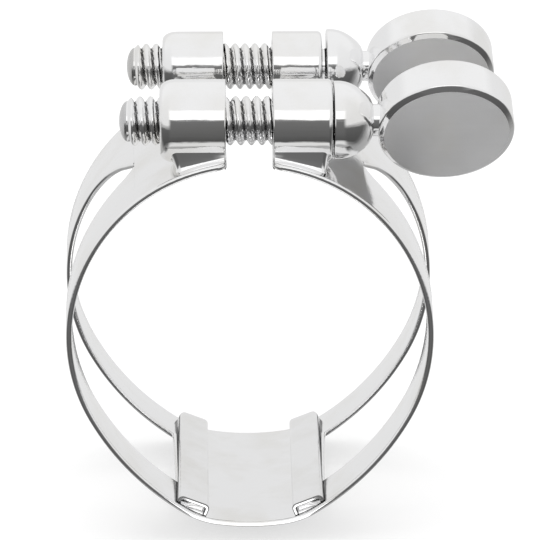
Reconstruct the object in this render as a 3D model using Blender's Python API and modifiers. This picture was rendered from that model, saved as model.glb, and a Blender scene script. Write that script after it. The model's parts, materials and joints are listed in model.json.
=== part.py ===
"""Saxophone ligature: a slotted sheet band, four screw posts, two reed rails and two thumbscrews.

The origin is on the bore's axis, halfway along the band. +X points to the thumbscrew heads, +Y to
the wide rear edge and +Z to the screws. The band is modelled as two rigid arms that meet in a
hairline split beside the left reed rail, which stands for the place where the sheet flexes.
"""

from math import asin, cos, pi, radians, sin, sqrt

import bmesh
import bpy
from mathutils import Matrix, Vector

MM = 0.001

# Band: across the bore its outline is a run of tangent arcs, from a nearly flat floor through a
# knee and a flank into a circle on the bore's axis. Angles are those of the normal from -Z.
BAND_LENGTH = 20.0 * MM
SHEET = 0.45 * MM
FRONT_RADIUS, REAR_RADIUS = 13.15 * MM, 14.5 * MM
FRONT_BOTTOM, REAR_BOTTOM = -14.6 * MM, -15.75 * MM
FRONT_FLOOR_RADIUS, REAR_FLOOR_RADIUS = 17.0 * MM, 19.0 * MM
FLOOR_ANGLE, KNEE_ANGLE, FLANK_ANGLE = radians(8.0), radians(33.0), radians(62.0)
ARC_POINTS = (3, 8, 6, 40)

# Gap at the top of the band, wider to the rear, with rounded corners at both ends.
FRONT_GAP_HALF, REAR_GAP_HALF = 1.6 * MM, 1.9 * MM
GAP_CORNER = 0.8 * MM
GAP_CORNER_STEPS = 4

# Side slots, seen along X: height, front edge and rear edge.
SLOT_TIP = (10.7 * MM, -1.9 * MM)
SLOT_FRONT = [(9.6, -3.0), (7.6, -3.7), (3.4, -4.5), (-3.0, -4.95), (-9.0, -5.3), (-15.5, -5.3)]
SLOT_STEPS = 5
SLOT_REAR = [(10.3, 0.2), (8.9, 2.0), (7.0, 3.2), (3.4, 4.1), (-3.0, 4.7), (-9.0, 5.1), (-17.5, 5.3)]
SLOT_END_X = 5.75 * MM

# Flex line: where the split stands, and the hinge that stands for the bending sheet.
FLEX_X, FLEX_Z = -6.5 * MM, -12.6 * MM
FLEX_SLOPE = radians(38.0)
FLEX_SPLIT = 0.06 * MM
FLEX_CUT = 6.0 * MM
ARM_REACH = 40.0 * MM

# How far the cutters start inside the band, pass its edges and run outwards.
GAP_CUT_Z, CUT_REACH = 5.0 * MM, 30.0 * MM
CUT_OVERRUN = 1.0 * MM

# Posts: a barrel across the band on a saddle foot.
FRONT_POST_Y, REAR_POST_Y = -6.5 * MM, 6.35 * MM
FRONT_AXIS_Z, REAR_AXIS_Z = 15.3 * MM, 16.3 * MM
FRONT_BARREL_RADIUS, REAR_BARREL_RADIUS = 2.95 * MM, 2.65 * MM
FRONT_POST_OUTER_X = {"left": 6.3 * MM, "right": 5.85 * MM}
REAR_POST_OUTER_X = {"left": 6.45 * MM, "right": 5.6 * MM}
LEFT_ROUND = (1.1 * MM, 0.6 * MM)
RIGHT_ROUND = (0.35 * MM, 0.3 * MM)
POST_ROUND_STEPS = 5
BORE_RADIUS, BORE_REACH = 1.95 * MM, 10.0 * MM
FOOT_SET_BACK = 0.4 * MM
FOOT_LEAN = 0.4 * MM
FOOT_HALF_WIDTH = 2.6 * MM
FOOT_LEAN_START = 2.0 * MM
FOOT_DEPTH = 5.5 * MM
SOLDER_GAP = 0.04 * MM

# Reed rails: pressed channels soldered on the floor, a little further apart at the rear.
RAIL_LENGTH = 19.6 * MM
RAIL_SHEET = 0.3 * MM
RAIL_FRONT_INNER_X, RAIL_REAR_INNER_X = 3.25 * MM, 3.55 * MM
RAIL_FRONT_OUTER_X, RAIL_REAR_OUTER_X = 5.5 * MM, 5.8 * MM
RAIL_HEIGHT = 0.85 * MM
RAIL_TILT = radians(22.0)
RAIL_GAP = 0.06 * MM
RAIL_ROUND = 0.3 * MM
RAIL_CORNER_STEPS = 4

# Thumbscrews: thread, bell collar, neck and disc head, turned about X.
THREAD_RADIUS = 1.75 * MM
THREAD_TIP_X, THREAD_END_X = -9.2 * MM, -8.6 * MM
DOME_STEPS = 4
COLLAR_X, COLLAR_RADIUS = 5.95 * MM, 2.8 * MM
COLLAR_BAND, COLLAR_CHAMFER = 0.35 * MM, 0.08 * MM
BELL_STEPS = 8
NECK_X, NECK_RADIUS = 8.75 * MM, 1.15 * MM
NECK_END_X, NECK_END_RADIUS = 10.2 * MM, 1.3 * MM
DISC_X, DISC_RADIUS, DISC_THICKNESS = 13.9 * MM, 4.82 * MM, 2.95 * MM
DISC_EDGE = 0.55 * MM
DISC_EDGE_STEPS, DISC_STEPS = 3, 48
DISC_TILT = radians(33.0)
TURNED_STEPS = 40

SILVER = (0.80, 0.80, 0.81, 1.0)
BRIGHT_SILVER = (0.88, 0.88, 0.89, 1.0)
MERGE = 0.00001


def clear_scene():
    for obj in list(bpy.data.objects):
        bpy.data.objects.remove(obj, do_unlink=True)


def new_collection(name):
    collection = bpy.data.collections.new(name)
    bpy.context.scene.collection.children.link(collection)
    return collection


def metal(name, colour, roughness):
    material = bpy.data.materials.new(name)
    material.use_nodes = True
    shader = material.node_tree.nodes["Principled BSDF"]
    shader.inputs["Base Color"].default_value = colour
    shader.inputs["Metallic"].default_value = 1.0
    shader.inputs["Roughness"].default_value = roughness
    return material


def mesh_object(name, collection, verts, faces):
    mesh = bpy.data.meshes.new(name)
    mesh.from_pydata([tuple(v) for v in verts], [], faces)
    obj = bpy.data.objects.new(name, mesh)
    collection.objects.link(obj)
    return obj


def hide_cutter(obj):
    obj.hide_render = True
    obj.display_type = "WIRE"
    return obj


def boolean(obj, cutter, operation="DIFFERENCE"):
    modifier = obj.modifiers.new(operation.title() + " " + cutter.name, "BOOLEAN")
    modifier.operation = operation
    modifier.solver = "EXACT"
    modifier.object = cutter


def smooth(obj, angle=32.0):
    obj.data.shade_smooth()
    obj.data.set_sharp_from_angle(angle=radians(angle))


def along(front, rear, y):
    """A value at y that runs straight from the front edge to the rear edge."""
    return front + (rear - front) * (y / BAND_LENGTH + 0.5)


def band_arcs(y):
    """Arcs of the outline at y, from the floor upwards, as (radius, angle where the arc ends)."""
    radius = along(FRONT_RADIUS, REAR_RADIUS, y)
    floor = along(FRONT_FLOOR_RADIUS, REAR_FLOOR_RADIUS, y)
    depth = -along(FRONT_BOTTOM, REAR_BOTTOM, y)
    # What the knee and the flank must span together, in width and in height.
    width = radius * sin(FLANK_ANGLE) - floor * sin(FLOOR_ANGLE)
    height = depth - radius * cos(FLANK_ANGLE) - floor * (1.0 - cos(FLOOR_ANGLE))
    knee_width, flank_width = sin(KNEE_ANGLE) - sin(FLOOR_ANGLE), sin(FLANK_ANGLE) - sin(KNEE_ANGLE)
    knee_height, flank_height = cos(FLOOR_ANGLE) - cos(KNEE_ANGLE), cos(KNEE_ANGLE) - cos(FLANK_ANGLE)
    determinant = knee_width * flank_height - flank_width * knee_height
    knee = (width * flank_height - flank_width * height) / determinant
    flank = (knee_width * height - width * knee_height) / determinant
    return [(floor, FLOOR_ANGLE), (knee, KNEE_ANGLE), (flank, FLANK_ANGLE), (radius, pi)]


def band_outline(y, offset):
    """Closed outline (x, z) across the bore at y, moved outwards by offset."""
    x, z, start = 0.0, along(FRONT_BOTTOM, REAR_BOTTOM, y) - offset, 0.0
    half = [(x, z)]
    for (radius, end), count in zip(band_arcs(y), ARC_POINTS):
        for i in range(1, count + 1):
            a = start + (end - start) * i / count
            half.append((x + (radius + offset) * (sin(a) - sin(start)),
                         z + (radius + offset) * (cos(start) - cos(a))))
        x, z = half[-1]
        start = end
    return half + [(-x, z) for x, z in reversed(half[1:-1])]


def loft_band(name, collection, half_length, outer, inner=None):
    """Closed loft of the band's outline, solid or, with an inner offset, a tube with flat ends."""
    offsets = [outer] if inner is None else [outer, inner]
    rings = []
    for offset in offsets:
        for y in (-half_length, half_length):
            rings.append([(x, y, z) for x, z in band_outline(y, offset)])
    count = len(rings[0])
    verts = [v for ring in rings for v in ring]
    starts = [ring * count for ring in range(len(rings))]
    if inner is None:
        pairs = [(starts[0], starts[1])]
        faces = [tuple(range(count)), tuple(range(count, 2 * count))]
    else:
        pairs = [(starts[a], starts[b]) for a, b in ((0, 1), (2, 3), (0, 2), (1, 3))]
        faces = []
    for one, two in pairs:
        for i in range(count):
            j = (i + 1) % count
            faces.append((one + i, one + j, two + j, two + i))
    obj = mesh_object(name, collection, verts, faces)
    face_outwards(obj.data)
    return obj


def face_outwards(mesh):
    bm = bmesh.new()
    bm.from_mesh(mesh)
    bmesh.ops.recalc_face_normals(bm, faces=bm.faces)
    bm.to_mesh(mesh)
    bm.free()


def prism(name, collection, outline, low, high, plane):
    """Closed prism of an outline: plane 'XZ' runs along Y, 'YZ' along X and 'XY' along Z."""
    curve = bpy.data.curves.new(name, "CURVE")
    curve.dimensions = "2D"
    curve.fill_mode = "BOTH"
    curve.extrude = (high - low) / 2.0
    spline = curve.splines.new("POLY")
    spline.points.add(len(outline) - 1)
    for point, (u, v) in zip(spline.points, outline):
        point.co = (u, v, 0.0, 1.0)
    spline.use_cyclic_u = True
    source = bpy.data.objects.new(name + " outline", curve)
    collection.objects.link(source)
    bpy.context.view_layer.update()
    evaluated = source.evaluated_get(bpy.context.evaluated_depsgraph_get())
    mesh = bpy.data.meshes.new_from_object(evaluated)
    bpy.data.objects.remove(source, do_unlink=True)
    middle = (low + high) / 2.0
    axes = {
        "XY": Matrix(((1, 0, 0, 0), (0, 1, 0, 0), (0, 0, 1, middle), (0, 0, 0, 1))),
        "YZ": Matrix(((0, 0, 1, middle), (1, 0, 0, 0), (0, 1, 0, 0), (0, 0, 0, 1))),
        "XZ": Matrix(((1, 0, 0, 0), (0, 0, -1, middle), (0, 1, 0, 0), (0, 0, 0, 1))),
    }
    mesh.transform(axes[plane])
    bm = bmesh.new()
    bm.from_mesh(mesh)
    bmesh.ops.remove_doubles(bm, verts=bm.verts, dist=MERGE)
    bm.to_mesh(mesh)
    bm.free()
    face_outwards(mesh)
    obj = bpy.data.objects.new(name, mesh)
    collection.objects.link(obj)
    return hide_cutter(obj)


def spline_through(points, steps):
    """Smooth run of points (Catmull-Rom) through the given ones."""
    ends = [points[0]] + points + [points[-1]]
    run = []
    for k in range(1, len(ends) - 2):
        p0, p1, p2, p3 = (Vector(p) for p in ends[k - 1:k + 3])
        for i in range(steps):
            t = i / steps
            run.append(0.5 * (2 * p1 + (p2 - p0) * t + (2 * p0 - 5 * p1 + 4 * p2 - p3) * t * t
                              + (3 * p1 - p0 - 3 * p2 + p3) * t * t * t))
    run.append(Vector(points[-1]))
    return run


def slot_outline():
    """Slot seen along X as (y, z): up the front edge, round the tip and down the rear edge."""
    front = [(y * MM, z * MM) for z, y in reversed(SLOT_FRONT)]
    rear = [(y * MM, z * MM) for z, y in SLOT_REAR]
    tip_z, tip_y = SLOT_TIP
    return [tuple(p) for p in spline_through(front + [(tip_y, tip_z)] + rear, SLOT_STEPS)]


def gap_outline():
    """Gap seen along Z: straight sides that flare into rounded corners at both ends."""
    half = BAND_LENGTH / 2.0
    flare = []
    for i in range(GAP_CORNER_STEPS + 1):
        a = pi / 2.0 * i / GAP_CORNER_STEPS
        flare.append((GAP_CORNER * (1 - sin(a)), half - GAP_CORNER * (1 - cos(a))))
    flare = [(GAP_CORNER, half + CUT_OVERRUN)] + flare
    right = [(FRONT_GAP_HALF + x, -y) for x, y in flare]
    right += [(REAR_GAP_HALF + x, y) for x, y in reversed(flare)]
    return right + [(-x, y) for x, y in reversed(right)]


def arm_outline(margin):
    """Region of the left arm seen along Y, grown by margin across the flex line."""
    along_sheet = Vector((cos(FLEX_SLOPE), -sin(FLEX_SLOPE)))
    normal = Vector((-sin(FLEX_SLOPE), -cos(FLEX_SLOPE)))
    corner = Vector((FLEX_X, FLEX_Z)) + along_sheet * margin
    inner = corner - normal * FLEX_CUT
    outer = corner + normal * FLEX_CUT
    return [(-ARM_REACH, ARM_REACH), (0.0, ARM_REACH), (0.0, inner.y),
            tuple(inner), tuple(outer), (-ARM_REACH, outer.y)]


def band_cutters(cutters):
    end = BAND_LENGTH / 2.0 + CUT_OVERRUN
    return {
        "gap": prism("gap cutter", cutters, gap_outline(), GAP_CUT_Z, CUT_REACH, "XY"),
        "slot_right": prism("right slot cutter", cutters, slot_outline(), SLOT_END_X, CUT_REACH, "YZ"),
        "slot_left": prism("left slot cutter", cutters, slot_outline(), -CUT_REACH, -SLOT_END_X, "YZ"),
        "arm": prism("left arm region", cutters, arm_outline(-FLEX_SPLIT / 2), -end, end, "XZ"),
        "rest": prism("left arm clearance", cutters, arm_outline(FLEX_SPLIT / 2), -end, end, "XZ"),
    }


def make_band_arm(name, collection, cutters, side_slot, region, operation, material):
    band = loft_band(name, collection, BAND_LENGTH / 2.0, 0.0, -SHEET)
    boolean(band, cutters["gap"])
    boolean(band, cutters[side_slot])
    boolean(band, cutters[region], operation)
    band.data.materials.append(material)
    smooth(band)
    return band


def turned(name, collection, profile, x_axis_at):
    """Solid turned about a line along X: profile holds (x, radius) from high x to low x."""
    verts = [(radius, 0.0, x) for x, radius in profile]
    mesh = bpy.data.meshes.new(name)
    mesh.from_pydata(verts, [(i, i + 1) for i in range(len(verts) - 1)], [])
    obj = bpy.data.objects.new(name, mesh)
    collection.objects.link(obj)
    screw = obj.modifiers.new("Turn", "SCREW")
    screw.steps = TURNED_STEPS
    screw.render_steps = TURNED_STEPS
    screw.use_merge_vertices = True
    screw.merge_threshold = MERGE
    screw.use_smooth_shade = True
    obj.rotation_euler = (0.0, pi / 2.0, 0.0)
    obj.location = x_axis_at
    return obj


def quarter_ellipse(x_end, radius, along_x, drop):
    """Points that round a turned edge, from its end face to its full radius."""
    points = []
    for i in range(POST_ROUND_STEPS + 1):
        a = pi / 2.0 * i / POST_ROUND_STEPS
        points.append((x_end - along_x * (1 - cos(a)), radius - drop * (1 - sin(a))))
    return points


def post_profile(inner_x, outer_x, radius, rounding):
    rounded = quarter_ellipse(outer_x, radius, rounding[0], rounding[1])
    return [(outer_x, 0.0)] + rounded + [(inner_x, radius), (inner_x, 0.0)]


def foot_outline(inner_x, outer_x, axis_z, side):
    """Saddle foot seen along Y: its outer end leans in towards the band."""
    foot_x = outer_x - FOOT_SET_BACK
    outline = [(inner_x, axis_z), (foot_x, axis_z), (foot_x, axis_z - FOOT_LEAN_START),
               (foot_x - FOOT_LEAN, axis_z - FOOT_DEPTH), (inner_x, axis_z - FOOT_DEPTH)]
    return [(side * x, z) for x, z in outline]


def make_post(name, collection, cutters, hand, row, envelope, material):
    """Post on one arm: the left posts are threaded and the right ones let the shank through."""
    y, axis_z, radius, outer = row
    side, rounding = (-1, LEFT_ROUND) if hand == "left" else (1, RIGHT_ROUND)
    inner_x = along(FRONT_GAP_HALF, REAR_GAP_HALF, y)
    profile = post_profile(inner_x, outer[hand], radius, rounding)
    if side < 0:
        profile = [(-x, r) for x, r in reversed(profile)]
    post = turned(name, collection, profile, (0.0, y, axis_z))
    foot = prism(name + " foot", cutters, foot_outline(inner_x, outer[hand], axis_z, side),
                 y - FOOT_HALF_WIDTH, y + FOOT_HALF_WIDTH, "XZ")
    bore_line = [(BORE_REACH, 0.0), (BORE_REACH, BORE_RADIUS), (-BORE_REACH, BORE_RADIUS), (-BORE_REACH, 0.0)]
    bore = turned(name + " bore", cutters, bore_line, (0.0, y, axis_z))
    hide_cutter(bore)
    boolean(post, foot, "UNION")
    boolean(post, envelope)
    boolean(post, bore)
    post.data.materials.append(material)
    return post


def floor_point(x, y):
    """Point on the band's inner floor at x, on the right side."""
    reach, height, start = 0.0, along(FRONT_BOTTOM, REAR_BOTTOM, y) + SHEET, 0.0
    for radius, end in band_arcs(y):
        inner = radius - SHEET
        far = reach + inner * (sin(end) - sin(start))
        if x <= far:
            break
        height += inner * (cos(start) - cos(end))
        reach, start = far, end
    a = asin(sin(start) + (x - reach) / inner)
    return Vector((x, y, height + inner * (cos(start) - cos(a))))


def rail_section(y):
    """Outer line of the channel at y, from its inner foot to its outer one, just clear of the floor."""
    tangent = Vector((cos(RAIL_TILT), 0.0, sin(RAIL_TILT)))
    normal = Vector((-sin(RAIL_TILT), 0.0, cos(RAIL_TILT)))
    inner_x = along(RAIL_FRONT_INNER_X, RAIL_REAR_INNER_X, y)
    outer_x = along(RAIL_FRONT_OUTER_X, RAIL_REAR_OUTER_X, y)
    point = floor_point((inner_x + outer_x) / 2.0, y)
    half = (outer_x - inner_x) / 2.0 / tangent.x
    corner = half - RAIL_ROUND
    bend = []
    for i in range(RAIL_CORNER_STEPS + 1):
        a = pi / 2.0 * i / RAIL_CORNER_STEPS
        bend.append((corner + RAIL_ROUND * cos(a), RAIL_HEIGHT - RAIL_ROUND * (1 - sin(a))))
    line = []
    for side in (-1, 1):
        floor = floor_point((point + tangent * half * side).x, y)
        foot = (side * half, (floor - point).dot(normal) + RAIL_GAP)
        line.append([foot] + [(side * u, v) for u, v in bend])
    return [point + tangent * u + normal * v for u, v in line[0] + list(reversed(line[1]))]


def make_rail(name, collection, side, material):
    half = RAIL_LENGTH / 2.0
    sections = [rail_section(-half), rail_section(half)]
    count = len(sections[0])
    verts = [(side * v.x, v.y, v.z) for section in sections for v in section]
    faces = [(i, i + 1, count + i + 1, count + i) for i in range(count - 1)]
    if side > 0:
        faces = [tuple(reversed(face)) for face in faces]
    rail = mesh_object(name, collection, verts, faces)
    solidify = rail.modifiers.new("Sheet", "SOLIDIFY")
    solidify.thickness = RAIL_SHEET
    solidify.offset = -1.0
    solidify.use_even_offset = True
    rail.data.materials.append(material)
    smooth(rail)
    return rail


def bell_profile():
    """Collar: a short straight band, then a convex bell down to the neck."""
    start = COLLAR_X + COLLAR_BAND
    length = NECK_X - start
    points = []
    for i in range(BELL_STEPS + 1):
        t = i / BELL_STEPS
        share = (cos(pi / 2.0 * t) + sqrt(1.0 - t * t)) / 2.0
        points.append((start + length * t, NECK_RADIUS + (COLLAR_RADIUS - NECK_RADIUS) * share))
    return points


def screw_profile():
    """Outline of the thumbscrew from inside the disc down to the tip of its thread."""
    flare = [(NECK_END_X, 0.0), (NECK_END_X, NECK_END_RADIUS)]
    bell = list(reversed(bell_profile()))
    shank = [(COLLAR_X, COLLAR_RADIUS - COLLAR_CHAMFER), (COLLAR_X, THREAD_RADIUS),
             (THREAD_END_X, THREAD_RADIUS)]
    dome = []
    for i in range(1, DOME_STEPS + 1):
        a = pi / 2.0 * i / DOME_STEPS
        dome.append((THREAD_END_X + (THREAD_TIP_X - THREAD_END_X) * sin(a), THREAD_RADIUS * cos(a)))
    dome[-1] = (THREAD_TIP_X, 0.0)
    return flare + bell + shank + dome


def make_disc(name, collection, y, axis_z):
    bm = bmesh.new()
    bmesh.ops.create_cone(bm, cap_ends=True, segments=DISC_STEPS, radius1=DISC_RADIUS, radius2=DISC_RADIUS,
                          depth=DISC_THICKNESS)
    mesh = bpy.data.meshes.new(name)
    bm.to_mesh(mesh)
    bm.free()
    disc = bpy.data.objects.new(name, mesh)
    collection.objects.link(disc)
    bevel = disc.modifiers.new("Rounded edge", "BEVEL")
    bevel.width = DISC_EDGE
    bevel.segments = DISC_EDGE_STEPS
    disc.rotation_euler = (pi / 2.0 + DISC_TILT, 0.0, 0.0)
    disc.location = (DISC_X, y, axis_z)
    return hide_cutter(disc)


def make_thumbscrew(name, collection, cutters, y, axis_z, material):
    screw = turned(name, collection, screw_profile(), (0.0, y, axis_z))
    boolean(screw, make_disc(name + " disc", cutters, y, axis_z), "UNION")
    screw.data.materials.append(material)
    return screw


def build():
    clear_scene()
    parts = new_collection("saxophone_ligature")
    cutters = new_collection("cutters")
    band_metal = metal("band_silver", SILVER, 0.12)
    post_metal = metal("post_silver", BRIGHT_SILVER, 0.08)
    rail_metal = metal("rail_silver", SILVER, 0.15)
    screw_metal = metal("screw_silver", BRIGHT_SILVER, 0.08)
    cuts = band_cutters(cutters)
    make_band_arm("band_left", parts, cuts, "slot_left", "arm", "INTERSECT", band_metal)
    make_band_arm("band_right", parts, cuts, "slot_right", "rest", "DIFFERENCE", band_metal)
    envelope = hide_cutter(loft_band("band envelope", cutters, BAND_LENGTH / 2.0 + CUT_OVERRUN, SOLDER_GAP))
    rows = {"front": (FRONT_POST_Y, FRONT_AXIS_Z, FRONT_BARREL_RADIUS, FRONT_POST_OUTER_X),
            "rear": (REAR_POST_Y, REAR_AXIS_Z, REAR_BARREL_RADIUS, REAR_POST_OUTER_X)}
    for place, row in rows.items():
        for hand in ("left", "right"):
            make_post(f"post_{place}_{hand}", parts, cutters, hand, row, envelope, post_metal)
        make_thumbscrew(f"thumbscrew_{place}", parts, cutters, row[0], row[1], screw_metal)
    make_rail("reed_rail_left", parts, -1, rail_metal)
    make_rail("reed_rail_right", parts, 1, rail_metal)


build()
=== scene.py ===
"""Looks of the saxophone ligature: one bent band, soldered posts, reed rails and two thumbscrews."""
import json
from math import acos, asin, cos, degrees, pi, radians, sin, sqrt, tan

import bmesh
import bpy
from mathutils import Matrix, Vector


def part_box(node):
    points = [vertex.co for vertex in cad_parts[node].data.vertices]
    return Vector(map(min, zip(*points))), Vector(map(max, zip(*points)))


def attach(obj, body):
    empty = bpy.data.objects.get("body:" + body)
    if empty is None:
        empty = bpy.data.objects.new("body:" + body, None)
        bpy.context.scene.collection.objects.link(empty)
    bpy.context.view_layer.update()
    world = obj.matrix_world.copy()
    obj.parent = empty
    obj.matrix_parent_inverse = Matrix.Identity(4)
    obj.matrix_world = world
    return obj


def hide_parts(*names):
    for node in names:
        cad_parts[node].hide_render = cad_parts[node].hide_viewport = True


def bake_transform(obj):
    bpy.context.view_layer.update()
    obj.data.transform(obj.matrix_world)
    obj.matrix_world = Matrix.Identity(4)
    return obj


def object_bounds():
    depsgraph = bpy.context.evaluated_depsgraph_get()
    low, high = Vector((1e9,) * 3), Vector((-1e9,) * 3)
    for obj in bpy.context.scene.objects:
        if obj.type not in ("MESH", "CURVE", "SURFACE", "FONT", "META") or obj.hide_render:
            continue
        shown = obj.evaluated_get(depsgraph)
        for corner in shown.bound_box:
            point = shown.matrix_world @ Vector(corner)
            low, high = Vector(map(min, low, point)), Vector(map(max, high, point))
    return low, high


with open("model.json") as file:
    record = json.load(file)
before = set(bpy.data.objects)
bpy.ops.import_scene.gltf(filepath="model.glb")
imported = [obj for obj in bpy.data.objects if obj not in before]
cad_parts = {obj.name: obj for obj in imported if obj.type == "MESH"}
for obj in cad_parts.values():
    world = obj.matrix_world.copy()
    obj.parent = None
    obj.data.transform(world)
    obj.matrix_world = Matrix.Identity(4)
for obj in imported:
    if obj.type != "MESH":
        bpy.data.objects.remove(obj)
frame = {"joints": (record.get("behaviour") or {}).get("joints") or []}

cad_low, cad_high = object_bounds()
MM = 0.001

# Band, as in the CAD model.
SHEET = 0.45
FRONT_Y, REAR_Y = -10.0, 10.0
RADII = (13.15, 14.5)
BOTTOMS = (-14.6, -15.75)
FLOOR_RADII = (17.0, 19.0)
FLOOR_ANGLE, KNEE_ANGLE, FLANK_ANGLE = radians(8.0), radians(33.0), radians(62.0)
GAP_HALVES = (1.6, 1.9)
GAP_CORNER = 0.8
EDGE_ROUND = 0.2
# Angle from the top to the gap's edge, and the first steps below it, in degrees.
GAP_ANGLE = 7.3
GAP_STEPS = [0.0, 0.25, 0.6, 1.1, 1.7, 2.4, 3.2, 4.2]
SLOT_TIP = 38.2
# Angle from the top in degrees, then the slot's front and rear edges.
SLOT_EDGES = [(38.2, -1.85, -1.75), (38.7, -2.15, -1.4), (39.8, -2.5, -0.95), (42.0, -2.95, -0.2),
              (45.8, -3.3, 1.1), (51.4, -3.6, 2.3), (60.0, -3.95, 3.3), (75.0, -4.4, 4.05),
              (90.0, -4.65, 4.5), (115.0, -5.0, 4.9), (136.0, -5.2, 5.15), (150.0, -5.3, 5.3)]
SLOT_END_X = 5.75

# Posts.
BORE = 1.95
BORE_CHAMFER = 0.12
BARREL_EDGE = 0.1
# Length and depth of the rounding at a barrel's outer end.
POST_ROUNDING = {"left": (1.1, 0.6), "right": (0.35, 0.3)}
# How far the foot's end stands back from the barrel's, and how much further at the band.
FOOT_END = {"left": (0.6, 0.6), "right": (0.2, 0.3)}
# Share of the foot's height, flare of its end and half width, under a barrel of FOOT_TABLE_RADIUS.
FOOT_LEVELS = [(-0.10, 0.10, 2.64), (0.0, 0.08, 2.61), (0.05, 0.03, 2.53), (0.12, 0.0, 2.48),
               (0.30, -0.03, 2.45), (0.55, -0.05, 2.43), (0.80, -0.03, 2.42), (1.0, 0.0, 2.42)]
FOOT_TABLE_RADIUS = 2.95
FOOT_CORNER, FOOT_INNER_CORNER = 0.35, 0.1
FOOT_INSET = 0.04
# How far the foot's top reaches into the barrel, and the least height it may have.
FOOT_OVERLAP, FOOT_LEAST_HEIGHT = 0.35, 0.02

# Reed rails.
RAIL_SHEET = 0.3
RAIL_INNER_X = (3.25, 3.55)
RAIL_OUTER_X = (5.5, 5.8)
RAIL_ENDS = (-9.8, 9.8)
RAIL_HEIGHT = 0.85
RAIL_TILT = radians(22.0)
RAIL_GAP = 0.06
RAIL_CORNER = 0.4
RAIL_CHAMFER = 0.08
RAIL_STEPS = 12
# Distance of the solder's sections from each end of a rail, and their height.
SOLDER_ENDS = ((0.1, 0.05), (0.45, 0.42))
SOLDER_TAPER, SOLDER_LEAST_HEIGHT = 0.98, 0.02
# The outer wall gets painted shade where its normal's outward share is more than this.
SHADE_FACING = 0.85

# Thumbscrews.
PITCH = 0.75
CREST, ROOT = 1.75, 1.3
CREST_POWER = 0.9
STEPS_PER_PITCH = 12
TIP_RADIUS = 1.45
TIP_STEPS = 6
# Faces of the thread inside this radius are painted darker, as painted shade in the roots.
GROOVE_RADIUS = 1.44
THREAD_TIP_X, THREAD_END_X, THREAD_STOP_X = -9.2, -8.55, 5.2
# Lengths over which the thread rises at the tip and runs out at the collar.
THREAD_RISE, THREAD_RUN_OUT = 0.25, 0.5
COLLAR_X, COLLAR_RADIUS = 5.95, 2.8
COLLAR_EDGE, COLLAR_WIDTH = 0.12, 0.35
BELL_STEPS = 16
NECK_X, NECK_RADIUS = 8.75, 1.15
NECK_END_X = 10.2
# The whole head lies beyond this x.
HEAD_START_X = 9.0
DISC_X, DISC_RADIUS, DISC_THICKNESS = 13.9, 4.82, 2.95
DISC_FACE, DISC_BEVEL, DISC_CORNER = 4.42, radians(35.0), 0.25
DISC_TILT = radians(33.0)
DISC_OUT = Vector((0.0, -cos(DISC_TILT), -sin(DISC_TILT)))
DISC_FACE_RINGS = (0.0, 2.0, 3.6)
DISC_RIM_HALF = 0.45

# Reflector card: half its width, the y where it starts and where it bends up, and its top.
CARD_HALF, CARD_NEAR, CARD_FAR, CARD_TOP = 4.9, -10.6, -17.5, -12.6
# The card lies a little above the part's lowest point, and the floor a little below it.
CARD_LIFT, FLOOR_DROP = 0.05, 0.1

# Silver plate: scales of the clouds, the hairlines and the tarnish, and the hairlines' stretch.
CLOUD_SCALE, HAIR_SCALE, STAIN_SCALE = 420.0, 900.0, 260.0
HAIR_STRETCH = (0.15, 5.0, 5.0)
HAIR_BUMP, BUMP_DEPTH = 0.10, 0.02

# Brightness of the studio dome at elevations in degrees: ahead, to the sides and behind.
DOME_AHEAD = [(-90, 0.56), (-75, 0.54), (-62, 0.38), (-58, 0.78), (-50, 0.78), (-46, 0.08), (-30, 0.12),
              (10, 0.17), (16, 0.30), (17.5, 1.25), (38, 1.25), (44, 0.92), (90, 0.92)]
DOME_SIDES = [(-90, 0.56), (-62, 0.38), (-46, 0.08), (-10, 0.12), (2, 0.84), (90, 0.90)]
DOME_BEHIND = [(-90, 0.56), (-60, 0.36), (-35, 0.45), (-20, 0.82), (24, 0.84), (36, 0.93), (90, 0.93)]
# Where the dome turns from ahead to the sides, as a share of X, and to behind, as a share of Y.
SIDES_FROM, SIDES_TO = 0.25, 0.5
BEHIND_FROM, BEHIND_TO = -0.25, 0.35

# Place (y, z) of each thumbscrew's axis.
AXES = {}
for joint in frame["joints"]:
    if joint["name"].endswith("_screw_turn"):
        row_name = joint["name"].split("_")[0]
        AXES[row_name] = (joint["pos_m"][1] / MM, joint["pos_m"][2] / MM)


# ---------------------------------------------------------------- mesh helpers

def make(name, verts, faces, material, body=None, cad=(), sharp=35.0):
    """Mesh object from points in millimetres; it rides on a body and stands for CAD nodes."""
    mesh = bpy.data.meshes.new(name)
    mesh.from_pydata([tuple(c * MM for c in v) for v in verts], [], faces)
    bm = bmesh.new()
    bm.from_mesh(mesh)
    bmesh.ops.recalc_face_normals(bm, faces=bm.faces)
    bm.to_mesh(mesh)
    bm.free()
    mesh.materials.append(material)
    mesh.shade_smooth()
    mesh.set_sharp_from_angle(angle=radians(sharp))
    obj = bpy.data.objects.new(name, mesh)
    bpy.context.scene.collection.objects.link(obj)
    if cad:
        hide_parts(*cad)
    if body:
        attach(obj, body)
    return obj


def join(shells):
    """One list of points and faces from several closed shells."""
    verts, faces = [], []
    for part_verts, part_faces in shells:
        base = len(verts)
        verts += part_verts
        faces += [tuple(i + base for i in face) for face in part_faces]
    return verts, faces


def skin(sections, closed=False):
    """Points and faces of a skin through sections of equal count; a single point closes an end."""
    verts, faces, rings = [], [], []
    for section in sections:
        rings.append(range(len(verts), len(verts) + len(section)))
        verts += section
    pairs = list(zip(rings, rings[1:]))
    if closed:
        pairs.append((rings[-1], rings[0]))
    for one, two in pairs:
        count = max(len(one), len(two))
        for k in range(count):
            j = (k + 1) % count
            if len(one) == 1:
                faces.append((one[0], two[j], two[k]))
            elif len(two) == 1:
                faces.append((one[k], one[j], two[0]))
            else:
                faces.append((one[k], one[j], two[j], two[k]))
    return verts, faces


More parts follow.
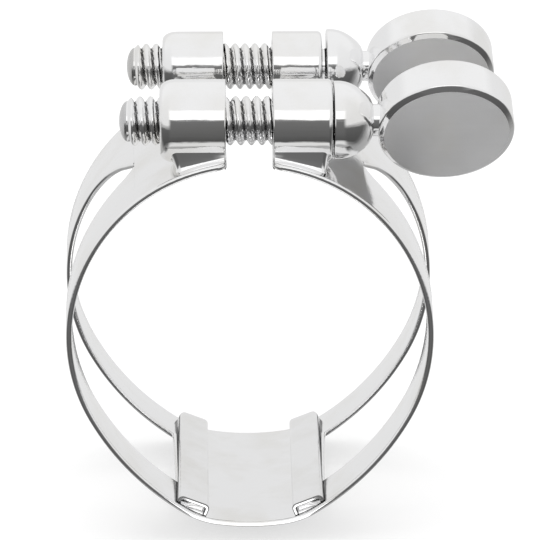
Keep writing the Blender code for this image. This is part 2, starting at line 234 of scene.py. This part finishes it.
def ring_x(x, y, z, radii):
    """Ring of points about a line along X, with one radius for each point."""
    ring = []
    for k, radius in enumerate(radii):
        a = 2 * pi * k / len(radii)
        ring.append((x, y + radius * cos(a), z + radius * sin(a)))
    return ring


def middle(points):
    """Mean of some points."""
    return tuple(sum(p[c] for p in points) / len(points) for c in range(3))


def rounded(x, radius, along, drop, steps=8):
    """Quarter ellipse from an end face at x to the full radius; along is negative if it faces -X."""
    points = []
    for i in range(steps + 1):
        a = pi / 2 * i / steps
        points.append((x - along * (1 - cos(a)), radius - drop * (1 - sin(a))))
    return points


def between(pair, y):
    """Value at y, from the pair of values at the band's front and rear edges."""
    return pair[0] + (pair[1] - pair[0]) * (y - FRONT_Y) / (REAR_Y - FRONT_Y)


def smooth_table(table, x):
    """Catmull-Rom value row of a table at x; the first column holds the keys."""
    x = min(max(x, table[0][0]), table[-1][0])
    k = max(i for i in range(len(table) - 1) if table[i][0] <= x)
    rows = [table[max(k - 1, 0)], table[k], table[k + 1], table[min(k + 2, len(table) - 1)]]
    span = rows[2][0] - rows[1][0]
    t = (x - rows[1][0]) / span
    out = []
    for c in range(1, len(table[0])):
        left = rows[2][c] - rows[0][c]
        right = rows[3][c] - rows[1][c]
        m1 = left / max(rows[2][0] - rows[0][0], 1e-9) * span
        m2 = right / max(rows[3][0] - rows[1][0], 1e-9) * span
        out.append((2 * t**3 - 3 * t**2 + 1) * rows[1][c] + (t**3 - 2 * t**2 + t) * m1
                   + (-2 * t**3 + 3 * t**2) * rows[2][c] + (t**3 - t**2) * m2)
    return out


# ---------------------------------------------------------------- materials

def silver(name, base, roughness, tarnish, dents=0.0, grain=1.0):
    """Silver plate: fine hairlines and cloudy wear in the roughness, and a trace of tarnish.

    Tarnish is the share of light that it takes away, dents the scale of shallow dents, and grain
    the strength of the wear.
    """
    material = bpy.data.materials.new(name)
    material.use_nodes = True
    nodes, links = material.node_tree.nodes, material.node_tree.links
    shader = nodes["Principled BSDF"]
    shader.inputs["Metallic"].default_value = 1.0
    shader.inputs["Specular Tint"].default_value = (1.0, 1.0, 1.0, 1.0)
    place = nodes.new("ShaderNodeTexCoord")

    def noise(scale, detail, stretch=(1.0, 1.0, 1.0)):
        mapping = nodes.new("ShaderNodeMapping")
        mapping.inputs["Scale"].default_value = stretch
        links.new(place.outputs["Object"], mapping.inputs["Vector"])
        texture = nodes.new("ShaderNodeTexNoise")
        texture.inputs["Scale"].default_value = scale
        texture.inputs["Detail"].default_value = detail
        links.new(mapping.outputs["Vector"], texture.inputs["Vector"])
        return texture.outputs["Fac"]

    def ramp(value, low, high, from_low=0.35, from_high=0.65):
        node = nodes.new("ShaderNodeMapRange")
        node.inputs["From Min"].default_value = from_low
        node.inputs["From Max"].default_value = from_high
        node.inputs["To Min"].default_value = low
        node.inputs["To Max"].default_value = high
        links.new(value, node.inputs["Value"])
        return node.outputs["Result"]

    def add(one, two):
        node = nodes.new("ShaderNodeMath")
        node.operation = "ADD"
        links.new(one, node.inputs[0])
        links.new(two, node.inputs[1])
        return node.outputs[0]

    clouds = noise(CLOUD_SCALE, 6.0)
    hairs = noise(HAIR_SCALE, 4.0, HAIR_STRETCH)
    cloud_rough = ramp(clouds, roughness * (1 - 0.3 * grain), roughness * (1 + 0.35 * grain))
    hair_rough = ramp(hairs, 0.0, roughness * 0.5 * grain)
    links.new(add(cloud_rough, hair_rough), shader.inputs["Roughness"])

    tint = nodes.new("ShaderNodeMix")
    tint.data_type = "RGBA"
    stained = base * (1.0 - tarnish)
    tint.inputs[6].default_value = (base, base, base * 1.004, 1.0)
    tint.inputs[7].default_value = (stained, stained * 0.99, stained * 0.965, 1.0)
    links.new(ramp(noise(STAIN_SCALE, 8.0), 0.0, 1.0, 0.45, 0.75), tint.inputs[0])
    links.new(tint.outputs[2], shader.inputs["Base Color"])

    bump = nodes.new("ShaderNodeBump")
    bump.inputs["Strength"].default_value = HAIR_BUMP * grain
    bump.inputs["Distance"].default_value = BUMP_DEPTH * MM
    height = ramp(hairs, 0.0, 1.0)
    if dents:
        height = add(height, ramp(noise(dents, 2.0), 0.0, 4.0))
    links.new(height, bump.inputs["Height"])
    links.new(bump.outputs["Normal"], shader.inputs["Normal"])
    return material


BAND = silver("band_plate", 0.90, 0.07, tarnish=0.08)
POST = silver("post_plate", 0.92, 0.045, tarnish=0.06, dents=600.0)
RAIL = silver("rail_plate", 0.88, 0.10, tarnish=0.10)
SCREW = silver("screw_plate", 0.92, 0.045, tarnish=0.08)
FACE = silver("head_face_satin", 0.86, 0.45, tarnish=0.03, grain=0.25)
# Painted shade: this darker material stands for the shade in the thread roots.
THREAD_ROOT_SHADE = silver("thread_root_painted_shade", 0.38, 0.25, tarnish=0.25)
# Painted shade: this darker material stands for the shade and dark reflection on the screw's domed tip.
TIP_SHADE = silver("screw_tip_painted_shade", 0.62, 0.20, tarnish=0.12)
# Painted shade: this dark material stands for the shade on the rails' outer walls and end chamfers.
RAIL_SHADE = silver("rail_painted_shade", 0.22, 0.35, tarnish=0.3)


# ---------------------------------------------------------------- band

def band_arcs(y):
    """Arcs of the outline at y, from the floor upwards, as (radius, angle where the arc ends)."""
    radius = between(RADII, y)
    floor = between(FLOOR_RADII, y)
    width = radius * sin(FLANK_ANGLE) - floor * sin(FLOOR_ANGLE)
    height = -between(BOTTOMS, y) - radius * cos(FLANK_ANGLE) - floor * (1.0 - cos(FLOOR_ANGLE))
    knee_width, flank_width = sin(KNEE_ANGLE) - sin(FLOOR_ANGLE), sin(FLANK_ANGLE) - sin(KNEE_ANGLE)
    knee_height, flank_height = cos(FLOOR_ANGLE) - cos(KNEE_ANGLE), cos(KNEE_ANGLE) - cos(FLANK_ANGLE)
    determinant = knee_width * flank_height - flank_width * knee_height
    knee = (width * flank_height - flank_width * height) / determinant
    flank = (knee_width * height - width * knee_height) / determinant
    return [(floor, FLOOR_ANGLE), (knee, KNEE_ANGLE), (flank, FLANK_ANGLE), (radius, pi)]


def outline(station, y):
    """Point (x, z) across the bore. A station is a share of the big arc, or an angle below it."""
    part, amount = station
    if part == "arc":
        radius = between(RADII, y)
        gap = asin(between(GAP_HALVES, y) / radius)
        a = gap + (pi - FLANK_ANGLE - gap) * amount
        return radius * sin(a), radius * cos(a)
    x, z, start = 0.0, between(BOTTOMS, y), 0.0
    for radius, end in band_arcs(y):
        a = min(amount, end)
        x += radius * (sin(a) - sin(start))
        z += radius * (cos(start) - cos(a))
        start = end
        if amount <= end:
            break
    return x, z


def top_angle(station):
    """Angle from the top, in degrees, as seen from the bore's axis halfway along the band."""
    x, z = outline(station, 0.0)
    return degrees(acos(z / sqrt(x * x + z * z)))


def band_stations():
    """Stations from the gap down to the middle of the floor, close together where edges curve."""
    arc = 180.0 - degrees(FLANK_ANGLE) - GAP_ANGLE
    tip = SLOT_TIP - GAP_ANGLE
    turns = GAP_STEPS + [6.0 + 2.5 * i for i in range(10)]
    turns += [tip + 0.5 * i for i in range(-2, 26)]
    turns += [tip + 13.0 + 1.2 * i for i in range(60)]
    stations = [("arc", turn / arc) for turn in turns if turn < arc - 0.5]
    lower_arcs = ((FLANK_ANGLE, KNEE_ANGLE, 16), (KNEE_ANGLE, FLOOR_ANGLE, 24), (FLOOR_ANGLE, 0.0, 8))
    for start, end, count in lower_arcs:
        stations += [("below", start + (end - start) * i / count) for i in range(count)]
    return stations + [("below", 0.0)]


def corner_inset(beyond):
    """How far the rounded corner at the gap cuts into the band's width, beyond the gap's edge."""
    into = GAP_CORNER - beyond
    if into <= 0.0:
        return 0.0
    return GAP_CORNER - sqrt(max(GAP_CORNER**2 - into**2, 0.0))


def band_rows(station):
    """The y of the four lines along the band: two edges and the slot's two sides."""
    insets = [0.0, 0.0]
    if station[0] == "arc":
        insets = [corner_inset(outline(station, y)[0] - half)
                  for y, half in zip((FRONT_Y, REAR_Y), GAP_HALVES)]
    slot_front, slot_rear = smooth_table(SLOT_EDGES, top_angle(station))
    return [FRONT_Y + insets[0], slot_front, slot_rear, REAR_Y - insets[1]]


def in_slot(station):
    """Whether the slot is open at a station."""
    return top_angle(station) > SLOT_TIP and outline(station, 0.0)[0] > SLOT_END_X


def make_band():
    """The sheet as one strip: a surface of four lines, made solid, with its edges rounded."""
    stations = band_stations()
    rows, open_slot = [], []
    for side, run in ((1, stations), (-1, list(reversed(stations))[1:])):
        for station in run:
            row = []
            for y in band_rows(station):
                x, z = outline(station, y)
                row.append((side * x, y, z))
            rows.append(row)
            open_slot.append(in_slot(station))
    verts = [p for row in rows for p in row]
    faces = []
    for i in range(len(rows) - 1):
        for j in range(3):
            if j == 1 and open_slot[i] and open_slot[i + 1]:
                continue
            a = i * 4 + j
            faces.append((a, a + 1, a + 5, a + 4))
    mesh = bpy.data.meshes.new("band")
    mesh.from_pydata([tuple(c * MM for c in v) for v in verts], [], faces)
    obj = bpy.data.objects.new("band", mesh)
    bpy.context.scene.collection.objects.link(obj)
    face_outwards(mesh)
    solidify = obj.modifiers.new("Sheet", "SOLIDIFY")
    solidify.thickness = SHEET * MM
    solidify.offset = -1.0
    solidify.use_even_offset = True
    bevel = obj.modifiers.new("Edges", "BEVEL")
    bevel.width = EDGE_ROUND * MM
    bevel.segments = 6
    bevel.limit_method = "ANGLE"
    bevel.angle_limit = radians(50.0)
    bevel.use_clamp_overlap = False
    freeze(obj)
    obj.data.materials.append(BAND)
    obj.data.shade_smooth()
    obj.data.set_sharp_from_angle(angle=radians(40.0))
    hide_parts("band_left", "band_right")
    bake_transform(obj)


def face_outwards(mesh):
    """Turn every face away from the bore."""
    bm = bmesh.new()
    bm.from_mesh(mesh)
    bmesh.ops.recalc_face_normals(bm, faces=bm.faces)
    bm.faces.ensure_lookup_table()
    first = bm.faces[0]
    first.normal_update()
    centre = first.calc_center_median()
    if first.normal.dot(Vector((centre.x, 0.0, centre.z))) < 0.0:
        bmesh.ops.reverse_faces(bm, faces=bm.faces)
    bm.to_mesh(mesh)
    bm.free()


def freeze(obj):
    """Apply every modifier."""
    bpy.context.view_layer.update()
    evaluated = obj.evaluated_get(bpy.context.evaluated_depsgraph_get())
    mesh = bpy.data.meshes.new_from_object(evaluated)
    mesh.name = obj.name
    obj.modifiers.clear()
    obj.data = mesh


# ---------------------------------------------------------------- posts

def band_top(x, y):
    """Height of the band's outer surface on the big arc."""
    radius = between(RADII, y)
    return sqrt(radius * radius - x * x)


def foot_outline(low, high, half):
    """Rounded outline of the foot from above, as (distance from the gap's plane, y)."""
    near, far, side = low + FOOT_INNER_CORNER, high - FOOT_CORNER, half - FOOT_CORNER
    corners = ((far, side, FOOT_CORNER, 0), (near, side, FOOT_INNER_CORNER, 90),
               (near, -side, FOOT_INNER_CORNER, 180), (far, -side, FOOT_CORNER, 270))
    ring = []
    for centre_u, centre_v, corner, start in corners:
        for k in range(7):
            a = radians(start + 15 * k)
            ring.append((centre_u + corner * cos(a), centre_v + FOOT_CORNER * sin(a)))
    return ring


def foot_shell(side, y, axis_z, radius, inner, outer, lean):
    """Saddle under a barrel, which flares a little where it meets the band."""
    sections = []
    for t, flare, half in FOOT_LEVELS:
        high = outer - lean * (1.0 - max(t, 0.0)) + flare
        section = []
        for u, v in foot_outline(inner + FOOT_INSET, high, half * radius / FOOT_TABLE_RADIUS):
            base = band_top(u, y + v)
            top = axis_z - sqrt(max((radius - FOOT_OVERLAP)**2 - v * v, 0.01))
            top = max(top, base + FOOT_LEAST_HEIGHT)
            section.append((side * u, y + v, base + (top - base) * t))
        sections.append(section)
    return skin([[middle(sections[0])]] + sections + [[middle(sections[-1])]])


def barrel_shell(side, y, axis_z, radius, inner, outer, rounding, segments=96):
    """Bored barrel as a closed ring: bore, chamfers, square inner end and rounded outer end."""
    profile = [(inner + BORE_CHAMFER, BORE), (inner, BORE + BORE_CHAMFER)]
    profile += rounded(inner, radius, -BARREL_EDGE, BARREL_EDGE, 3)
    profile += [(inner + (outer - rounding[0] - inner) * f, radius) for f in (0.3, 0.6, 0.9)]
    profile += list(reversed(rounded(outer, radius, rounding[0], rounding[1])))
    profile += [(outer, BORE + BORE_CHAMFER), (outer - BORE_CHAMFER, BORE)]
    return skin([ring_x(side * x, y, axis_z, [r] * segments) for x, r in profile], closed=True)


def make_post(row, hand):
    """Post as wide and as high as its CAD node: a barrel and the foot soldered to the band."""
    node = f"post_{row}_{hand}"
    box_low, box_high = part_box(node)
    side = -1 if hand == "left" else 1
    inner, outer = sorted(abs(c) / MM for c in (box_low.x, box_high.x))
    y, axis_z = AXES[row]
    radius = box_high.z / MM - axis_z
    barrel = barrel_shell(side, y, axis_z, radius, inner, outer, POST_ROUNDING[hand])
    set_back, lean = FOOT_END[hand]
    foot = foot_shell(side, y, axis_z, radius, inner, outer - set_back, lean)
    verts, faces = join([barrel, foot])
    make(node + "_turned", verts, faces, POST, hand + "_arm", (node,))


# ---------------------------------------------------------------- reed rails

def floor_point(x, y):
    """Point on the band's inner floor at x, on the right side."""
    reach, height, start = 0.0, between(BOTTOMS, y) + SHEET, 0.0
    for radius, end in band_arcs(y):
        inner = radius - SHEET
        far = reach + inner * (sin(end) - sin(start))
        if x <= far:
            break
        height += inner * (cos(start) - cos(end))
        reach, start = far, end
    a = asin(sin(start) + (x - reach) / inner)
    return Vector((x, y, height + inner * (cos(start) - cos(a))))


def rail_frame(y):
    """Place of the rail's middle on the floor, its directions across and up, and its half width."""
    across = Vector((cos(RAIL_TILT), 0.0, sin(RAIL_TILT)))
    up = Vector((-sin(RAIL_TILT), 0.0, cos(RAIL_TILT)))
    inner_x, outer_x = between(RAIL_INNER_X, y), between(RAIL_OUTER_X, y)
    return floor_point((inner_x + outer_x) / 2, y), across, up, (outer_x - inner_x) / 2 / across.x


def rail_ring(y, shrink):
    """Closed section of the pressed channel, shrunk a little at its two ends."""
    place, across, up, half = rail_frame(y)

    def line(inset):
        corner = RAIL_CORNER - inset
        flat = half - RAIL_CORNER
        bend = []
        for k in range(9):
            a = pi / 2 * k / 8
            bend.append((flat + corner * cos(a), RAIL_HEIGHT - RAIL_CORNER + corner * sin(a)))
        feet = []
        for side in (-1, 1):
            floor = floor_point((place + across * (side * half)).x, y)
            feet.append((side * (half - inset), (floor - place).dot(up) + RAIL_GAP))
        return [feet[0]] + [(-u, v) for u, v in bend] + list(reversed(bend)) + [feet[1]]

    ring = line(shrink) + list(reversed(line(RAIL_SHEET - shrink)))
    return [place + across * u + up * v for u, v in ring]


def solder_ring(y, rise):
    """Section of the solder that fills the channel up to rise."""
    place, across, up, half = rail_frame(y)
    side = half - RAIL_SHEET
    shares = (-1.0, -0.5, 0.0, 0.5, 1.0)
    low = []
    for share in shares:
        floor = floor_point((place + across * (side * share)).x, y)
        low.append((side * share, (floor - place).dot(up) + RAIL_GAP / 2))
    high = [(u * SOLDER_TAPER, max(rise, v + SOLDER_LEAST_HEIGHT)) for u, v in reversed(low)]
    return [place + across * u + up * v for u, v in low + high]


def loft(sections, side):
    """Closed shell through sections of equal count, mirrored for the left side."""
    verts, faces = skin([[(side * v.x, v.y, v.z) for v in section] for section in sections])
    count = len(sections[0])
    for base in (0, len(verts) - count):
        for i in range(count // 2 - 1):
            faces.append((base + i, base + i + 1, base + count - 2 - i, base + count - 1 - i))
    return verts, faces


def make_rail(hand):
    """Pressed channel with its solder; its outer wall and the chamfers of its ends are painted darker,
    as painted shade.
    """
    side = -1 if hand == "left" else 1
    front, rear = RAIL_ENDS
    steps = [front + (rear - front) * i / RAIL_STEPS for i in range(1, RAIL_STEPS)]
    steps = [front + RAIL_CHAMFER] + steps + [rear - RAIL_CHAMFER]
    sections = [rail_ring(y, 0.0) for y in steps]
    sections = [rail_ring(front, RAIL_CHAMFER)] + sections + [rail_ring(rear, RAIL_CHAMFER)]
    fills = [(front + inset, rise) for inset, rise in SOLDER_ENDS]
    fills += [(rear - inset, rise) for inset, rise in reversed(SOLDER_ENDS)]
    solder = [solder_ring(y, rise) for y, rise in fills]
    verts, faces = join([loft(sections, side), loft(solder, side)])
    node = "reed_rail_" + hand
    rail = make(node + "_pressed", verts, faces, RAIL, "right_arm", (node,))
    # Painted shade: the outer wall and the end chamfers get the dark material.
    rail.data.materials.append(RAIL_SHADE)
    middle_x = (RAIL_INNER_X[1] + RAIL_OUTER_X[0]) / 2
    for polygon in rail.data.polygons:
        outer_wall = polygon.normal.x * side > SHADE_FACING and abs(polygon.center.x / MM) > middle_x
        from_end = rear - abs(polygon.center.y / MM)
        chamfer = RAIL_CHAMFER * 0.2 < from_end < RAIL_CHAMFER * 0.8
        if outer_wall or chamfer:
            polygon.material_index = 1


# ---------------------------------------------------------------- thumbscrews

def thread_radius(turn, fade):
    """Radius over one pitch: a rounded crest and a narrow root."""
    threaded = ROOT + (CREST - ROOT) * abs(sin(pi * turn))**CREST_POWER
    return TIP_RADIUS + (threaded - TIP_RADIUS) * fade


def shank_profile():
    """Bell collar and neck beyond the thread, as (x, radius)."""
    profile = [(THREAD_STOP_X + 0.1, ROOT), (COLLAR_X - COLLAR_EDGE, ROOT), (COLLAR_X, ROOT + 0.1)]
    profile += rounded(COLLAR_X, COLLAR_RADIUS, -COLLAR_EDGE, COLLAR_EDGE, 3)
    start = COLLAR_X + COLLAR_WIDTH
    for i in range(BELL_STEPS + 1):
        t = i / BELL_STEPS
        share = (cos(pi / 2 * t) + sqrt(1 - t * t)) / 2
        radius = NECK_RADIUS + (COLLAR_RADIUS - NECK_RADIUS) * share
        profile.append((start + (NECK_X - start) * t, radius))
    profile += [(NECK_X + 0.15, NECK_RADIUS * 0.98), (NECK_X + 0.3, NECK_RADIUS)]
    return profile + [(NECK_END_X, NECK_RADIUS)]


def shank_shell(y, axis_z, segments=72):
    """Threaded shank with its domed tip, bell collar and neck, up to inside the disc."""
    sections = [[(THREAD_TIP_X, y, axis_z)]]
    for i in range(1, TIP_STEPS + 1):
        a = pi / 2 * i / (TIP_STEPS + 0.5)
        x = THREAD_END_X + (THREAD_TIP_X - THREAD_END_X) * cos(a)
        sections.append(ring_x(x, y, axis_z, [TIP_RADIUS * sin(a)] * segments))
    step = PITCH / STEPS_PER_PITCH
    for i in range(int(round((THREAD_STOP_X - THREAD_END_X) / step)) + 1):
        x = THREAD_END_X + step * i
        rise = min((x - THREAD_END_X) / THREAD_RISE, 1.0)
        fade = max(rise * min((THREAD_STOP_X - x) / THREAD_RUN_OUT, 1.0), 0.0)
        radii = [thread_radius(x / PITCH - k / segments, fade) for k in range(segments)]
        sections.append(ring_x(x, y, axis_z, radii))
    sections += [ring_x(x, y, axis_z, [radius] * segments) for x, radius in shank_profile()]
    return skin(sections + [[(NECK_END_X, y, axis_z)]])


def disc_profile(front):
    """Edge of the disc as (height, radius): from its face over a shallow bevel to its rim."""
    corner = DISC_RADIUS - DISC_CORNER
    bevel_end = corner + DISC_CORNER * sin(DISC_BEVEL)
    drop = (bevel_end - DISC_FACE) * tan(DISC_BEVEL)
    centre = DISC_THICKNESS / 2 - drop - DISC_CORNER * cos(DISC_BEVEL)
    points = [(front * DISC_THICKNESS / 2, DISC_FACE)]
    for k in range(9):
        a = DISC_BEVEL + (pi / 2 - DISC_BEVEL) * k / 8
        points.append((front * (centre + DISC_CORNER * cos(a)), corner + DISC_CORNER * sin(a)))
    return points


def disc_shell(y, axis_z, segments=128):
    """Coin-shaped head with bevelled faces and rounded edges, tilted about the screw."""
    across = Vector((1.0, 0.0, 0.0))
    up = DISC_OUT.cross(across)
    face = [(DISC_THICKNESS / 2, radius) for radius in DISC_FACE_RINGS]
    profile = face + disc_profile(1) + [(DISC_RIM_HALF, DISC_RADIUS), (-DISC_RIM_HALF, DISC_RADIUS)]
    profile += list(reversed(disc_profile(-1))) + [(-h, r) for h, r in reversed(face)]
    sections = []
    for h, r in profile:
        centre = Vector((DISC_X, y, axis_z)) + DISC_OUT * h
        turns = [2 * pi * k / segments for k in range(segments)]
        ring = [tuple(centre + (across * cos(a) + up * sin(a)) * r) for a in turns]
        sections.append(ring if r else [tuple(centre)])
    return skin(sections)


def make_thumbscrew(row):
    """Thumbscrew with satin faces on its head, painted shade in its thread roots and a tip painted
    darker as painted shade.
    """
    y, axis_z = AXES[row]
    verts, faces = join([shank_shell(y, axis_z), disc_shell(y, axis_z)])
    node = "thumbscrew_" + row
    obj = make(node + "_turned", verts, faces, SCREW, row + "_screw", (node,), sharp=20.0)
    for material in (FACE, THREAD_ROOT_SHADE, TIP_SHADE):
        obj.data.materials.append(material)
    axis = Vector((0.0, y, axis_z))
    centre = Vector((DISC_X, y, axis_z))
    for polygon in obj.data.polygons:
        point = polygon.center / MM
        on_face = abs((point - centre).dot(DISC_OUT)) > DISC_THICKNESS / 2 * 0.999
        if on_face and point.x > HEAD_START_X:
            polygon.material_index = 1
        # Painted shade: faces in the thread roots get the dark root material, and the domed tip a
        # darker one.
        if point.x < THREAD_STOP_X and Vector((point - axis).yz).length < GROOVE_RADIUS:
            polygon.material_index = 2 if point.x > THREAD_END_X else 3


# ---------------------------------------------------------------- stage

def world_light():
    """Studio dome: pale above and behind, a bright window at the front and dark below it."""
    world = bpy.data.worlds.new("studio")
    world.use_nodes = True
    bpy.context.scene.world = world
    nodes, links = world.node_tree.nodes, world.node_tree.links
    background = nodes["Background"]
    place = nodes.new("ShaderNodeTexCoord")
    split = nodes.new("ShaderNodeSeparateXYZ")
    links.new(place.outputs["Generated"], split.inputs[0])
    height = nodes.new("ShaderNodeMapRange")
    height.inputs["From Min"].default_value = -1.0
    links.new(split.outputs["Z"], height.inputs["Value"])

    def ramp(stops):
        """Brightness by elevation; the dome's Z runs from 0 to 1."""
        node = nodes.new("ShaderNodeValToRGB")
        elements = node.color_ramp.elements
        while len(elements) > 1:
            elements.remove(elements[-1])
        for number, (elevation, value) in enumerate(stops):
            position = sin(radians(elevation)) / 2 + 0.5
            if number:
                elements.new(position)
            elements[number].position = position
            elements[number].color = (value, value, value, 1.0)
        links.new(height.outputs["Result"], node.inputs["Fac"])
        return node.outputs["Color"]

    def blend(low, high, value, one, two):
        """Mix of two colours as value goes from low to high."""
        share = nodes.new("ShaderNodeMapRange")
        share.interpolation_type = "SMOOTHSTEP"
        share.inputs["From Min"].default_value = low
        share.inputs["From Max"].default_value = high
        links.new(value, share.inputs["Value"])
        mix = nodes.new("ShaderNodeMix")
        mix.data_type = "RGBA"
        links.new(share.outputs["Result"], mix.inputs[0])
        links.new(one, mix.inputs[6])
        links.new(two, mix.inputs[7])
        return mix.outputs[2]

    aside = nodes.new("ShaderNodeMath")
    aside.operation = "ABSOLUTE"
    links.new(split.outputs["X"], aside.inputs[0])
    front = blend(SIDES_FROM, SIDES_TO, aside.outputs[0], ramp(DOME_AHEAD), ramp(DOME_SIDES))
    dome = blend(BEHIND_FROM, BEHIND_TO, split.outputs["Y"], front, ramp(DOME_BEHIND))
    links.new(dome, background.inputs["Color"])


def make_floor():
    """Pale paper under the part, which the metal doesn't mirror."""
    mesh = bpy.data.meshes.new("floor")
    bm = bmesh.new()
    bmesh.ops.create_grid(bm, x_segments=1, y_segments=1, size=3.0)
    bm.to_mesh(mesh)
    bm.free()
    floor = bpy.data.objects.new("floor", mesh)
    bpy.context.scene.collection.objects.link(floor)
    floor.location.z = cad_low.z - FLOOR_DROP * MM
    material = bpy.data.materials.new("floor_paper")
    material.use_nodes = True
    shader = material.node_tree.nodes["Principled BSDF"]
    shader.inputs["Base Color"].default_value = (0.45, 0.45, 0.45, 1.0)
    shader.inputs["Roughness"].default_value = 0.9
    shader.inputs["Emission Color"].default_value = (1.0, 1.0, 1.0, 1.0)
    shader.inputs["Emission Strength"].default_value = 0.55
    mesh.materials.append(material)
    floor.visible_glossy = False


def make_card():
    """White reflector card that lies and stands just in front of the band, seen only in the metal."""
    foot = cad_low.z / MM + CARD_LIFT
    bends = ((CARD_NEAR, foot), (CARD_FAR, foot), (CARD_FAR, CARD_TOP))
    corners = [(x * MM, y * MM, z * MM) for y, z in bends for x in (-CARD_HALF, CARD_HALF)]
    mesh = bpy.data.meshes.new("card")
    mesh.from_pydata(corners, [], [(0, 1, 3, 2), (2, 3, 5, 4)])
    card = bpy.data.objects.new("reflector_card", mesh)
    bpy.context.scene.collection.objects.link(card)
    material = bpy.data.materials.new("card_white")
    material.use_nodes = True
    shader = material.node_tree.nodes["Principled BSDF"]
    shader.inputs["Base Color"].default_value = (0.8, 0.8, 0.8, 1.0)
    shader.inputs["Emission Color"].default_value = (1.0, 1.0, 1.0, 1.0)
    shader.inputs["Emission Strength"].default_value = 0.95
    mesh.materials.append(material)
    card.visible_camera = False
    card.visible_diffuse = False
    card.visible_shadow = False


def area_light(name, location, target, size, energy):
    """Square light that the metal doesn't mirror."""
    data = bpy.data.lights.new(name, "AREA")
    data.size = size
    data.energy = energy
    light = bpy.data.objects.new(name, data)
    light.location = location
    light.rotation_euler = (Vector(target) - Vector(location)).to_track_quat("-Z", "Y").to_euler()
    light.visible_glossy = False
    bpy.context.scene.collection.objects.link(light)


def make_camera():
    """Camera in front of the bore and a little above it."""
    azimuth, elevation, distance = radians(-1.0), radians(18.2), 157.0 * MM
    aim = Vector((1.44, -8.42, 4.80)) * MM
    back = Vector((sin(azimuth) * cos(elevation), -cos(azimuth) * cos(elevation), sin(elevation)))
    data = bpy.data.cameras.new("camera")
    data.lens = 146.5
    data.clip_start = 0.001
    camera = bpy.data.objects.new("camera", data)
    camera.location = aim + back * distance
    camera.rotation_mode = "QUATERNION"
    camera.rotation_quaternion = (-back).to_track_quat("-Z", "Y")
    bpy.context.scene.collection.objects.link(camera)
    bpy.context.scene.camera = camera


make_camera()
make_band()
for row_name in ("front", "rear"):
    for hand_name in ("left", "right"):
        make_post(row_name, hand_name)
    make_thumbscrew(row_name)
for hand_name in ("left", "right"):
    make_rail(hand_name)
world_light()
make_floor()
make_card()
area_light("top_softbox", (0.0, 0.05, 0.6), (0.0, 0.0, 0.0), 0.6, 2.0)
bpy.context.scene.view_settings.view_transform = "Standard"
